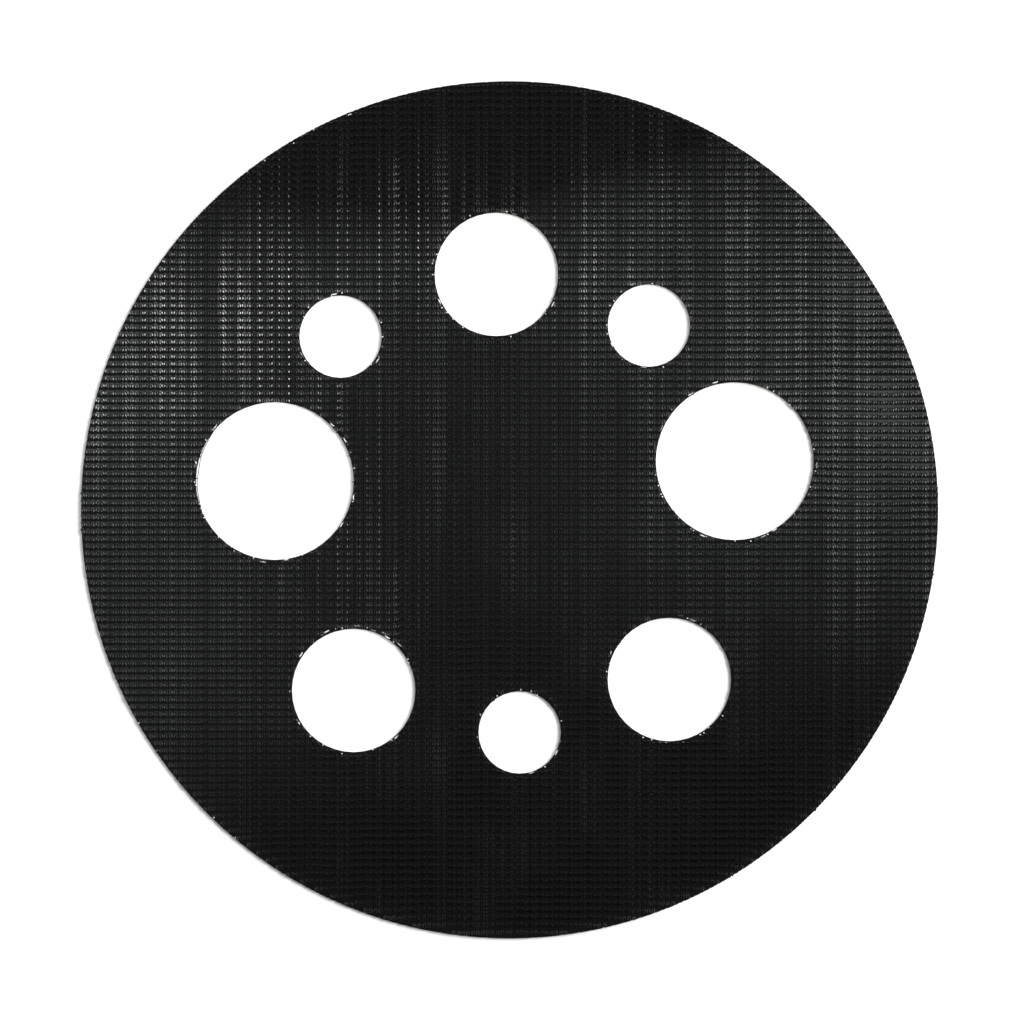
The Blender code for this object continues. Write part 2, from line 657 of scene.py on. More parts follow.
@dataclass(frozen=True)
class Outline:
    """The die-cut outline that all the layers share: a round rim and its dust holes."""

    rim: Circle
    holes: tuple[Circle, ...]

    @classmethod
    def from_frame(cls) -> "Outline":
        """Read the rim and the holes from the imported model.

        Returns:
            The outline.
        """
        low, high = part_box(Layer.PILE.node)
        middle = (Vector(low) + Vector(high)) / 2
        rim = Circle(middle.x, middle.y, (high[0] - low[0]) / 2)
        points = [vertex.co for vertex in frame["nodes"][Layer.PILE.node].data.vertices]
        holes = []
        for opening in frame["record"]["physics"]["openings"]:
            low, high = opening["box_m"]
            x, y = (low[0] + high[0]) / 2, (low[1] + high[1]) / 2
            holes.append(Circle(x, y, min((point.xy - Vector((x, y))).length for point in points)))
        return cls(rim, tuple(holes))

    @property
    def circles(self) -> tuple[Circle, ...]:
        """All the round edges, the rim first."""
        return (self.rim, *self.holes)

    def flat_area(self) -> float:
        """The area that the die leaves."""
        return pi * (self.rim.radius**2 - sum(hole.radius**2 for hole in self.holes))

    def inset(self, graph: Graph, place: Any) -> tuple[Number, bpy.types.NodeSocket]:
        """Measure how far inside the material a place is.

        Args:
            graph: the graph that the nodes are added to.
            place: the place's vector.

        Returns:
            The distance to the nearest edge, negative outside the material, and the direction
            in which that distance grows.
        """
        flat = graph.vectors("MULTIPLY", place, (1.0, 1.0, 0.0))
        away = graph.vectors("SUBTRACT", flat, (self.rim.x, self.rim.y, 0.0))
        best = self.rim.radius - graph.vectors("LENGTH", away).number("Value")
        inwards = graph.vectors("SCALE", graph.vectors("NORMALIZE", away))
        inwards.made.inputs["Scale"].default_value = -1.0
        direction = inwards.out()
        for hole in self.holes:
            away = graph.vectors("SUBTRACT", flat, (hole.x, hole.y, 0.0))
            reach = graph.vectors("LENGTH", away).number("Value") - hole.radius
            nearer = reach < best
            # A Mix node's share is its input 0, its vectors are inputs 4 and 5, and its output 1.
            direction = graph.node(
                "ShaderNodeMix", {"data_type": "VECTOR"},
                {0: nearer, 4: direction, 5: graph.vectors("NORMALIZE", away)},
            ).out(1)
            best = best.least(reach)
        return best, direction


# ---------------------------------------------------------------- mesh helpers


class Tubes:
    """Collects the filaments of one shape, as closed tubes with a bake map of their own."""

    def __init__(self, name: str, sides: int, *paths: Sequence[Vector]) -> None:
        """Start an empty shape.

        Args:
            name: the shape's name.
            sides: how many sides its tubes have.
            paths: the middle lines of all its tubes, for which its bake map keeps room.
        """
        self.name = name
        self.sides = sides
        self.all_rows = sum(len(path) - 1 + CAPS for path in paths)
        self.body = bmesh.new()
        self.map = self.body.loops.layers.uv.new(BAKE_MAP)
        # Layers that say where the material paints glints: at the cut end and on marked points.
        self.cut = self.body.verts.layers.float.new("cut_end")
        self.mark = self.body.verts.layers.float.new("mark")
        self.rows = 0

    def add(
        self, path: Sequence[Vector], radius: float,
        rubbed: Optional[Mapping[int, float]] = None, pale: Optional[Mapping[int, float]] = None,
    ) -> None:
        """Add a tube along a path that starts in the cloth and ends at a cut.

        Args:
            path: the points of its middle line.
            radius: its radius.
            rubbed: how strong a painted glint the tube has at each point of the path, for those that
                have one.
            pale: how pale its painted glint is there, towards the cut, which is itself the palest.
        """
        rings = []
        last = len(path) - 1
        for place, point in enumerate(path):
            before, after = path[max(place - 1, 0)], path[min(place + 1, last)]
            along = (after - before).normalized()
            out = (FIRST_CORNER - along * FIRST_CORNER.dot(along)).normalized()
            across = along.cross(out)
            turns = (tau * side / self.sides for side in range(self.sides))
            ring = [
                self.body.verts.new(point + radius * (out * cos(turn) + across * sin(turn)))
                for turn in turns
            ]
            for corner in ring:
                corner[self.mark] = (rubbed or {}).get(place, 0.0)
                corner[self.cut] = 1.0 if place == last else (pale or {}).get(place, 0.0)
            rings.append(ring)
        for low, high in zip(rings, rings[1:]):
            for side in range(self.sides):
                beside = (side + 1) % self.sides
                face = self.body.faces.new((low[side], low[beside], high[beside], high[side]))
                face.smooth = True
                corners = ((side, 0), (side + 1, 0), (side + 1, 1), (side, 1))
                for loop, (u, v) in zip(face.loops, corners):
                    loop[self.map].uv = (u / self.sides, (self.rows + v) / self.all_rows)
            self.rows += 1
        for ring in (rings[0][::-1], rings[-1]):
            face = self.body.faces.new(ring)
            for place, loop in enumerate(face.loops):
                turn = tau * place / self.sides
                u, v = 0.5 + CAP_REACH * cos(turn), 0.5 + CAP_REACH * sin(turn)
                loop[self.map].uv = (u, (self.rows + v) / self.all_rows)
            self.rows += 1

    def finish(self, collection: bpy.types.Collection) -> bpy.types.Object:
        """Make the shape an object.

        Args:
            collection: where the object goes.

        Returns:
            The object.
        """
        mesh = bpy.data.meshes.new(self.name)
        self.body.to_mesh(mesh)
        self.body.free()
        shape = bpy.data.objects.new(self.name, mesh)
        collection.objects.link(shape)
        return shape


class GrowthTree:
    """A Geometry Nodes tree with named inputs, and the objects that it grows."""

    def __init__(self, name: str) -> None:
        """Start an empty tree.

        Args:
            name: the tree's name.
        """
        self.tree = bpy.data.node_groups.new(name, "GeometryNodeTree")
        self.tree.interface.new_socket("Geometry", in_out="OUTPUT", socket_type="NodeSocketGeometry")
        self.graph = Graph(self.tree)
        self.entry = self.tree.nodes.new("NodeGroupInput")
        self.names: dict[str, str] = {}

    def input(self, name: str, kind: str, default: Any = None) -> Number:
        """Add a named input.

        Args:
            name: what it is called.
            kind: its socket type, without the NodeSocket in front.
            default: its value until a modifier sets it.

        Returns:
            The input, ready to reckon with.
        """
        item = self.tree.interface.new_socket(name, in_out="INPUT", socket_type=f"NodeSocket{kind}")
        if default is not None:
            item.default_value = default
        self.names[name] = item.identifier
        return Number(self.graph, self.entry.outputs[name])

    def end(self, geometry: Any, material: Any) -> None:
        """Realize what was grown, give it its material and hand it out.

        Args:
            geometry: what was grown.
            material: its material.
        """
        real = self.graph.node("GeometryNodeRealizeInstances", None, {"Geometry": geometry})
        dressed = self.graph.node(
            "GeometryNodeSetMaterial", None, {"Geometry": real, "Material": material}
        )
        self.graph.node("NodeGroupOutput", None, {0: dressed})

    def grow(self, name: str, **values: Any) -> bpy.types.Object:
        """Grow one object as a plain mesh.

        Args:
            name: the object's name.
            values: the tree's inputs, by name with underscores for spaces.

        Returns:
            The object, at the origin, with no modifier left.
        """
        seed_mesh = bpy.data.meshes.new(name)
        grown = bpy.data.objects.new(name, seed_mesh)
        bpy.context.scene.collection.objects.link(grown)
        modifier = grown.modifiers.new(self.tree.name, "NODES")
        modifier.node_group = self.tree
        for label, value in values.items():
            modifier[self.names[label.replace("_", " ")]] = value
        evaluated = grown.evaluated_get(bpy.context.evaluated_depsgraph_get())
        mesh = bpy.data.meshes.new_from_object(evaluated)
        grown.modifiers.remove(modifier)
        grown.data = mesh
        mesh.name = name
        bpy.data.meshes.remove(seed_mesh)
        return grown


def random_between(graph: Graph, low: float, high: float, of: Any, draw: int) -> Number:
    """Draw a number between two, the same for each thing that has the same whole number.

    Args:
        graph: the graph that the nodes are added to.
        low: the lower number.
        high: the higher number.
        of: the thing's whole number.
        draw: the step from the fixed seed to this draw's own.

    Returns:
        The number.
    """
    # The decimal limits are inputs 2 and 3 of the node, and its decimal draw is output 1.
    sockets = {2: low, 3: high, "ID": of, "Seed": SEED + draw}
    return graph.node("FunctionNodeRandomValue", {"data_type": "FLOAT"}, sockets).number(1)


def store(graph: Graph, geometry: Any, name: str, kind: str, domain: str, value: Any) -> Step:
    """Keep a value on the geometry as a named attribute.

    Args:
        graph: the graph that the nodes are added to.
        geometry: the geometry.
        name: the attribute's name.
        kind: its data type.
        domain: what has a value each.
        value: the value.

    Returns:
        The geometry, with the attribute.
    """
    return graph.node(
        "GeometryNodeStoreNamedAttribute", {"data_type": kind, "domain": domain},
        {"Geometry": geometry, "Name": name, "Value": value},
    )


def read(graph: Graph, name: str, kind: str = "FLOAT") -> Number:
    """Read a named attribute of the geometry.

    Args:
        graph: the graph that the nodes are added to.
        name: the attribute's name.
        kind: its data type.

    Returns:
        Its value, a number or the socket of a vector.
    """
    return graph.node(
        "GeometryNodeInputNamedAttribute", {"data_type": kind}, {"Name": name}
    ).number("Attribute")


def scatter(graph: Graph, points: Any, forms: Any, pick: Any, turn: Any, tall: Any) -> Step:
    """Set a real copy of one of a collection's shapes on each point.

    Args:
        graph: the graph that the nodes are added to.
        points: the points.
        forms: the collection of shapes.
        pick: the place in the collection of each point's shape.
        turn: each shape's rotation.
        tall: each shape's height, as a share of its own.

    Returns:
        The shapes as one mesh.
    """
    info = graph.node(
        "GeometryNodeCollectionInfo", None,
        {"Collection": forms, "Separate Children": True, "Reset Children": True},
    )
    placed = graph.node("GeometryNodeInstanceOnPoints", None, {
        "Points": points, "Instance": info, "Pick Instance": True, "Instance Index": pick,
        "Rotation": turn, "Scale": graph.vector(1.0, 1.0, tall),
    })
    return graph.node("GeometryNodeRealizeInstances", None, {"Geometry": placed})


def lay_out(graph: Graph, geometry: Any, cells: int) -> Step:
    """Give each scattered shape, by its whole number "cell", a place of its own on the bake map.

    Args:
        graph: the graph that the nodes are added to.
        geometry: the shapes, each with its cell's number.
        cells: how many cells the map has each way.

    Returns:
        The shapes, with no cell numbers left.
    """
    cell = read(graph, "cell", "INT")
    u, v, _ = graph.parts(read(graph, BAKE_MAP, "FLOAT_VECTOR"))
    filled = 1.0 - 2.0 * CELL_MARGIN
    spot = graph.vector(
        (cell % cells + CELL_MARGIN + u * filled) / cells,
        ((cell / cells).floor() + CELL_MARGIN + v * filled) / cells,
    )
    mapped = store(graph, geometry, BAKE_MAP, "FLOAT2", "CORNER", spot)
    return graph.node("GeometryNodeRemoveAttribute", None, {"Geometry": mapped, "Name": "cell"})


def clear_forms(forms: bpy.types.Collection) -> None:
    """Remove a collection and its shapes, now that they are scattered.

    Args:
        forms: the collection.
    """
    for form in list(forms.objects):
        bpy.data.objects.remove(form)
    bpy.data.collections.remove(forms)


# ---------------------------------------------------------------- the hooks


@dataclass(frozen=True)
class HookShape:
    """One woven loop, cut open on one side: a hook with its short stub beside it.

    Both legs come out of the cloth lying along the column, and turn up at the elbow. The hook
    opens towards +X where facing is 1, and towards -X where it is -1. The per-point marks say how
    strong a painted glint is at each point of it, from the root on, strongest at the elbow.
    """

    facing: int
    height: float = 1.035 * MM
    half_width: float = 0.175 * MM
    lean: float = 0.34 * MM
    lean_power: float = 1.5
    filament: float = 0.2 * MM
    root: tuple[float, float] = (-0.22 * MM, -0.04 * MM)
    elbow: tuple[float, float] = (-0.12 * MM, 0.06 * MM)
    rise: float = 0.38 * MM
    tip_height: float = 0.60 * MM
    tip_in: float = 0.72
    stub_height: float = 0.32 * MM
    arc_steps: int = 4
    sides: int = 5
    rubbed: tuple[float, ...] = (0.3, 1.0, 0.9, 0.05, 0.12, 0.18, 0.12)
    stub_paleness: float = 0.55

    @classmethod
    def cropped(cls, facing: int) -> "HookShape":
        """Give the low form that stands close to a cut edge."""
        return cls(facing, height=0.62 * MM, lean=0.10 * MM, rise=0.25 * MM, tip_height=0.30 * MM)

    def bent(self, x: float, height: float) -> Vector:
        """Place a point of the loop's plane, which leans over towards +Y."""
        share = max(height, 0.0) / self.height
        return Vector((x * self.facing, self.lean * share**self.lean_power, height))

    def foot(self, x: float) -> list[Vector]:
        """Place the two points of a leg that lie on the cloth."""
        return [Vector((x * self.facing, *point)) for point in (self.root, self.elbow)]

    def build(self, name: str, collection: bpy.types.Collection) -> bpy.types.Object:
        """Make the hook and its stub as one shape.

        Args:
            name: the shape's name.
            collection: where it goes.

        Returns:
            The shape's object.
        """
        shoulder = self.height - self.half_width
        path = self.foot(-self.half_width) + [self.bent(-self.half_width, self.rise)]
        for step in range(self.arc_steps + 1):
            turn = pi - pi * step / self.arc_steps
            path.append(self.bent(
                self.half_width * cos(turn), shoulder + self.half_width * sin(turn)
            ))
        path.append(self.bent(self.half_width * self.tip_in, self.tip_height))
        stub = self.foot(self.half_width) + [self.bent(self.half_width, self.stub_height)]
        shape = Tubes(name, self.sides, path, stub)
        # Painted glints: on the hook at its marked points, and on the stub towards its cut end.
        shape.add(path, self.filament / 2, rubbed=dict(enumerate(self.rubbed)))
        shape.add(stub, self.filament / 2, pale={1: self.stub_paleness})
        return shape.finish(collection)


@dataclass
class HookPile:
    """The rows of hooks, as bands of whole rows across the disc."""

    outline: Outline
    use_and_sheen: UseAndSheen
    weave: Weave = Weave()
    rows_in_band: int = 10
    bands: int = 12
    rim_margin: float = 0.20 * MM
    crown_reach: float = 0.52 * MM
    wander: float = 0.03 * MM
    sway: float = 0.9 * MM
    sway_scale: float = 95.0
    sway_start: float = 20.0 * MM
    sway_full: float = 55.0 * MM
    twist: float = radians(24)
    nod: float = radians(5)
    drift: float = radians(10)
    drift_scale: float = 22.0
    looseness: float = radians(4)
    shortest: float = 0.93
    shine: float = 1.7
    pieces: list[bpy.types.Object] = field(default_factory=list)

    @property
    def columns(self) -> int:
        """How many columns of hooks the blank is wide."""
        return int(2 * self.outline.rim.radius / self.weave.column) + 1

    @property
    def cells(self) -> int:
        """How many cells the bake map has each way, one cell for each hook."""
        return int((self.columns * self.rows_in_band) ** 0.5) + 1

    def tree(self, shapes: bpy.types.Collection, material: bpy.types.Material) -> GrowthTree:
        """Build the tree that sets out one band.

        Args:
            shapes: the hooks that are scattered.
            material: their material.

        Returns:
            The tree.
        """
        grown = GrowthTree("hook_band")
        graph = grown.graph
        row_pitch = grown.input("Row Pitch", "Float", self.weave.row)
        column_pitch = grown.input("Column Pitch", "Float", self.weave.column)
        columns = grown.input("Columns", "Int", self.columns)
        rows = grown.input("Rows", "Int", self.rows_in_band)
        first_row = grown.input("First Row", "Int", 0)
        level = grown.input("Level", "Float", 0.0)
        margin = grown.input("Rim Margin", "Float", self.rim_margin)
        forms = grown.input("Forms", "Collection", shapes)
        finish = grown.input("Finish", "Material", material)

        index = graph.node("GeometryNodeInputIndex").number()
        x = (index % columns - (columns - 1) * 0.5) * column_pitch
        y = ((index / columns).floor() + first_row) * row_pitch
        wander = random_between(graph, -self.wander, self.wander, index, Draw.WANDER)
        swaying = x.ramp(self.sway_start, self.sway_full)
        wave = (graph.noise(graph.vector(x, y, 0.31), self.sway_scale, 2.0) - 0.5) * swaying
        place = graph.vector(x + wander, y + wave * self.sway, level)
        points = graph.node("GeometryNodePoints", None, {"Count": columns * rows, "Position": place})

        at = graph.node("GeometryNodeInputPosition").out()
        inside, _ = self.outline.inset(graph, at)
        kept = graph.node(
            "GeometryNodeDeleteGeometry", {"domain": "POINT"},
            {"Geometry": points, "Selection": inside < margin},
        )
        crown = graph.vectors("ADD", at, (0.0, self.crown_reach, 0.0))
        crown_inside, _ = self.outline.inset(graph, crown)

        # Columns are woven from one filament each, so what differs does so from column to column:
        # own is a column's alone, slow changes along it, and group is shared with its neighbours.
        x, y, _ = graph.parts(at)
        column = (x / column_pitch + (columns - 1) * 0.5 + 0.5).floor()
        drift = graph.noise(graph.vector(x, y), self.drift_scale, 1.0) - 0.5
        twist = random_between(graph, -self.twist, self.twist, column, Draw.TWIST)
        nod = random_between(graph, -self.nod, self.nod, column, Draw.NOD)
        tall = random_between(graph, self.shortest, 1.00, column, Draw.HEIGHT)
        loose = random_between(graph, -self.looseness, self.looseness, index, Draw.LOOSENESS)
        own = random_between(graph, 0.0, 1.0, column, Draw.SHINE)
        slow = graph.noise(graph.vector(column * 3.7, y * 42.0), 1.0, 1.0).ramp(0.28, 0.62)
        group = graph.noise(graph.vector(column * 0.21, y * 25.0, 3.1), 1.0, 2.0).ramp(0.46, 0.60)
        turn = graph.vector(nod + drift * self.drift + loose, loose, twist + loose)

        # A few columns shine much more than the rest, alone or in small groups, in the zones of painted
        # glints: a lower roughness and glints painted pale.
        rub_and_glint = self.use_and_sheen.rub_and_glint(graph, x, y)
        dust = self.use_and_sheen.dust(graph, x, y)
        side = random_between(graph, 0.0, 1.0, column, Draw.SIDE_SHINE)
        alone, together = own ** 4.0, group * (own * 0.7 + 0.25)
        polish = (alone.most(together) * slow * rub_and_glint * self.shine).least(1.0)
        stored = store(graph, kept, "cell", "INT", "POINT", index)
        # The first value tints the hooks with dust and painted sheen, the second lowers their roughness
        # and paints glints on the cut ends, and the third paints glints on the marked points.
        for name, value in (
            ("dust", dust * (own * 0.35 + group * 0.15 + 0.55)),
            ("polish", polish),
            ("rubbed", polish * side.ramp(0.25, 0.85)),
        ):
            stored = store(graph, stored, name, "FLOAT", "POINT", value)
        pick = column % 2 + (crown_inside < margin) * 2.0
        hooks = scatter(graph, stored, forms, pick, turn, tall)
        grown.end(lay_out(graph, hooks, self.cells), finish)
        return grown

    def build(self, material: bpy.types.Material) -> list[bpy.types.Object]:
        """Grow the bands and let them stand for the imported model's plain layer.

        Args:
            material: the hooks' material.

        Returns:
            The bands.
        """
        shapes = bpy.data.collections.new("hook_forms")
        forms = (HookShape(1), HookShape(-1), HookShape.cropped(1), HookShape.cropped(-1))
        for number, form in enumerate(forms):
            form.build(f"hook_{number}", shapes)

        tree = self.tree(shapes, material)
        ground_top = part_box(Layer.GROUND.node)[1][2]
        first = -self.bands * self.rows_in_band // 2
        for band in range(self.bands):
            piece = tree.grow(
                f"hook_rows_{band + 1:02d}", First_Row=first + band * self.rows_in_band,
                Level=ground_top,
            )
            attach(piece, BODY)
            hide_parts(Layer.PILE.node)
            self.pieces.append(piece)
        clear_forms(shapes)
        return self.pieces


# ---------------------------------------------------------------- the ground cloth


@dataclass
class WovenGround:
    """The ribbed cloth that the hooks are woven into, cut to the outline."""

    outline: Outline
    weave: Weave = Weave()
    rib_depth: float = 0.09 * MM
    yarn_depth: float = 0.03 * MM
    weld: float = 0.002 * MM

    def tree(self, material: bpy.types.Material) -> GrowthTree:
        """Build the tree that weaves, cuts and thickens the cloth.

        Args:
            material: the cloth's material.

        Returns:
            The tree.
        """
        grown = GrowthTree("woven_ground")
        graph = grown.graph
        row_pitch = grown.input("Row Pitch", "Float", self.weave.row)
        column_pitch = grown.input("Column Pitch", "Float", self.weave.column)
        rib_depth = grown.input("Rib Depth", "Float", self.rib_depth)
        yarn_depth = grown.input("Yarn Depth", "Float", self.yarn_depth)
        top = grown.input("Top", "Float", 0.0)
        bottom = grown.input("Bottom", "Float", 0.0)
        finish = grown.input("Finish", "Material", material)

        # The blank has two squares to a column and three to a row, and reaches past the rim.
        across = 2 * int(2 * self.outline.rim.radius / self.weave.column) + 5
        up = 3 * int(2 * self.outline.rim.radius / self.weave.row) + 7
        blank = graph.node("GeometryNodeMeshGrid", None, {
            "Size X": column_pitch * (0.5 * (across - 1)), "Size Y": row_pitch * ((up - 1) / 3),
            "Vertices X": across, "Vertices Y": up,
        })
        at = graph.node("GeometryNodeInputPosition").out()
        inside, inwards = self.outline.inset(graph, at)
        punched = graph.node(
            "GeometryNodeDeleteGeometry", {"domain": "FACE"},
            {"Geometry": blank.out("Mesh"), "Selection": inside < 0.0},
        )
        # An edge with fewer than two faces is on the cut, and moves out onto the outline.
        faces = graph.node("GeometryNodeInputMeshEdgeNeighbors").number()
        edge = faces < 1.5
        outwards = graph.vectors("SCALE", inwards)
        graph.feed(outwards.made.inputs["Scale"], inside * -1.0)
        trimmed = graph.node(
            "GeometryNodeSetPosition", None,
            {"Geometry": punched, "Selection": edge, "Offset": outwards},
        )
        x, y, _ = graph.parts(at)
        rib = (y * tau / row_pitch).cos() * 0.5 + 0.5
        yarn = (x * tau / column_pitch).cos() * (y * pi / row_pitch).cos()
        relief = (rib - 1.0) * rib_depth + (yarn - 1.0) * yarn_depth
        woven = graph.node(
            "GeometryNodeSetPosition", None,
            {"Geometry": trimmed, "Position": graph.vector(x, y, top + relief)},
        )
        # The cut edge goes down as a wall, and the back closes its foot.
        wall = graph.node(
            "GeometryNodeExtrudeMesh", {"mode": "EDGES"},
            {"Mesh": woven, "Selection": edge, "Offset": (0.0, 0.0, -1.0), "Offset Scale": 0.1 * MM},
        )
        stood = graph.node(
            "GeometryNodeSetPosition", None,
            {"Geometry": wall, "Selection": wall.out("Top"), "Position": graph.vector(x, y, bottom)},
        )
        low_edge = graph.node(
            "GeometryNodeMeshToCurve", None, {"Mesh": stood, "Selection": wall.out("Top")}
        )
        back = graph.node("GeometryNodeFillCurve", None, {"Curve": low_edge})
        placed = graph.node(
            "GeometryNodeSetPosition", None, {"Geometry": back, "Offset": graph.vector(0.0, 0.0, bottom)}
        )
        turned = graph.node("GeometryNodeFlipFaces", None, {"Mesh": placed})
        joined = graph.node("GeometryNodeJoinGeometry")
        for part in (turned, stood):
            graph.feed(joined.made.inputs[0], part)
        closed = graph.node(
            "GeometryNodeMergeByDistance", None, {"Geometry": joined, "Distance": self.weld}
        )
        grown.end(closed, finish)
        return grown

    def build(self, finish: Finish) -> bpy.types.Object:
        """Grow the cloth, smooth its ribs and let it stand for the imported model's layer.

        Args:
            finish: the cloth's finish.

        Returns:
            The cloth.
        """
        low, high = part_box(Layer.GROUND.node)
        cloth = self.tree(finish.material()).grow("ribbed_ground", Top=high[2], Bottom=low[2])
        body = bmesh.new()
        body.from_mesh(cloth.data)
        bmesh.ops.recalc_face_normals(body, faces=body.faces)
        for face in body.faces:
            face.smooth = face.normal.z > 0.5
        body.to_mesh(cloth.data)
        body.free()
        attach(cloth, BODY)
        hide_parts(Layer.GROUND.node)
        return cloth


# ---------------------------------------------------------------- what the die left loose


@dataclass
class CutEnds:
    """Yarns that the die cut through along every round edge.

    Most are ends that stand or lean, and the rest are pulled yarns that lie along the edge.
    """

    outline: Outline
    use_and_sheen: UseAndSheen
    spacing: float = 0.6 * MM
    thickness: float = 0.20 * MM
    length: float = 0.30 * MM
    sunk: float = 0.12 * MM
    sides: int = 5
    root_paleness: float = 0.25
    bends: tuple[float, ...] = (0.0, 0.05 * MM, 0.12 * MM)
    lying: tuple[tuple[float, float, float], ...] = (
        (-0.42 * MM, -0.12 * MM, 0.0),
        (-0.26 * MM, 0.03 * MM, 0.7),
        (0.00 * MM, 0.07 * MM, 1.0),
        (0.26 * MM, 0.03 * MM, 0.8),
        (0.42 * MM, -0.12 * MM, 1.0),
    )
    edge_draws: int = 20
    jitter: float = 0.35
    nearest: float = 0.09 * MM
    farthest: float = 0.50 * MM
    lean: float = radians(34)
    fray_lean: float = radians(45)
    fray_share: float = 0.6
    rim_share: float = 0.015
    hole_share: float = 0.34
    frayed: tuple[Patch, ...] = (
        Patch(-0.73, 0.07, 0.10, 1.00),
        Patch(-0.70, 0.18, 0.07, 0.70),
        Patch(-0.36, 0.11, 0.09, 0.95),
        Patch(0.02, -0.44, 0.10, 0.45),
        Patch(0.42, 0.43, 0.06, 0.45),
    )

    def form(self, name: str, bend: float, collection: bpy.types.Collection) -> None:
        """Make one short end.

        Args:
            name: the shape's name.
            bend: how far it bends towards +X.
            collection: where it goes.
        """
        heights = (-self.sunk, self.length * 0.5, self.length)
        path = [Vector((bend * (place / 2) ** 2, 0.0, height)) for place, height in enumerate(heights)]
        shape = Tubes(name, self.sides, path)
        shape.add(path, self.thickness / 2, pale={1: self.root_paleness})
        shape.finish(collection)

    def lying_form(self, name: str, collection: bpy.types.Collection) -> None:
        """Make one pulled yarn that lies along the edge, with both its ends in the cloth.

        Its points are in the field lying: along the edge, above the cloth, and how pale its painted
        glint is.

        Args:
            name: the shape's name.
            collection: where it goes.
        """
        path = [Vector((0.0, along, height)) for along, height, _ in self.lying]
        pale = {place: paleness for place, (_, _, paleness) in enumerate(self.lying)}
        shape = Tubes(name, self.sides, path)
        shape.add(path, self.thickness / 2, pale=pale)
        shape.finish(collection)

    def tree(self, forms: bpy.types.Collection, material: bpy.types.Material, count: int) -> GrowthTree:
        """Build the tree that sets the ends out along the edges.

        Args:
            forms: the ends that are scattered.
            material: their material.
            count: how many places there are for one along all the edges.

        Returns:
            The tree.
        """
        grown = GrowthTree("cut_ends")
        graph = grown.graph
        spacing = grown.input("Spacing", "Float", self.spacing)
        level = grown.input("Level", "Float", 0.0)
        shapes = grown.input("Forms", "Collection", forms)
        finish = grown.input("Finish", "Material", material)

        index = graph.node("GeometryNodeInputIndex").number()
        joined = graph.node("GeometryNodeJoinGeometry")
        for number, circle in enumerate(self.outline.circles):
            own = self.edge_draws * number
            is_rim = circle is self.outline.rim
            places = (tau * circle.radius / spacing).floor()
            jitter = random_between(graph, -self.jitter, self.jitter, index, Draw.EDGE_TURN + own)
            turn = (index + jitter) * tau / places
            depth = random_between(
                graph, self.nearest, self.farthest, index, Draw.EDGE_DEPTH + own
            )
            reach = circle.radius - depth if is_rim else depth + circle.radius
            place = graph.vector(
                turn.cos() * reach + circle.x, graph.maths("SINE", turn) * reach + circle.y, level
            )
            points = graph.node("GeometryNodePoints", None, {"Count": places, "Position": place})
            away = turn if is_rim else turn + pi
            stored = store(graph, points, "away", "FLOAT", "POINT", away)
            share = self.rim_share if is_rim else self.hole_share
            graph.feed(joined.made.inputs[0], store(graph, stored, "share", "FLOAT", "POINT", share))

        away, share = read(graph, "away"), read(graph, "share")
        x, y, _ = graph.parts(graph.node("GeometryNodeInputPosition"))
        fray = self.use_and_sheen.level(graph, self.frayed, x, y)
        chance = random_between(graph, 0.0, 1.0, index, Draw.END_LEFT_OUT)
        left_out = chance > fray * self.fray_share + share
        kept = graph.node(
            "GeometryNodeDeleteGeometry", {"domain": "POINT"},
            {"Geometry": joined, "Selection": left_out},
        )
        lean = random_between(graph, 0.0, self.lean, index, Draw.END_LEAN) + fray * self.fray_lean
        # Some ends get a painted glint at their cut tip, and the same value lowers their roughness.
        bright = random_between(graph, -0.6, 1.0, index, Draw.END_PALENESS).ramp(-0.1, 0.5)
        stored = store(graph, kept, "cell", "INT", "POINT", index)
        stored = store(graph, stored, "polish", "FLOAT", "POINT", bright)
        tall = random_between(graph, 0.7, 1.15, index, Draw.END_HEIGHT)
        last = len(forms.objects) - 0.01
        pick = random_between(graph, 0.0, last, index, Draw.END_FORM).floor()
        ends = scatter(graph, stored, shapes, pick, graph.vector(0.0, lean, away), tall)
        for name in ("away", "share"):
            ends = graph.node("GeometryNodeRemoveAttribute", None, {"Geometry": ends, "Name": name})
        grown.end(lay_out(graph, ends, int(count**0.5) + 1), finish)
        return grown

    def build(self, material: bpy.types.Material) -> bpy.types.Object:
        """Grow the ends and let them ride with the cloth.

        Args:
            material: their material.

        Returns:
            The ends, as one piece.
        """
        forms = bpy.data.collections.new("end_forms")
        for number, bend in enumerate(self.bends):
            self.form(f"end_{number}", bend, forms)
        self.lying_form(f"end_{len(self.bends)}_lying", forms)
        count = sum(int(tau * circle.radius / self.spacing) for circle in self.outline.circles)
        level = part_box(Layer.GROUND.node)[1][2]
        ends = self.tree(forms, material, count).grow("cut_yarn_ends", Level=level)
        clear_forms(forms)
        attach(ends, BODY)
        return ends


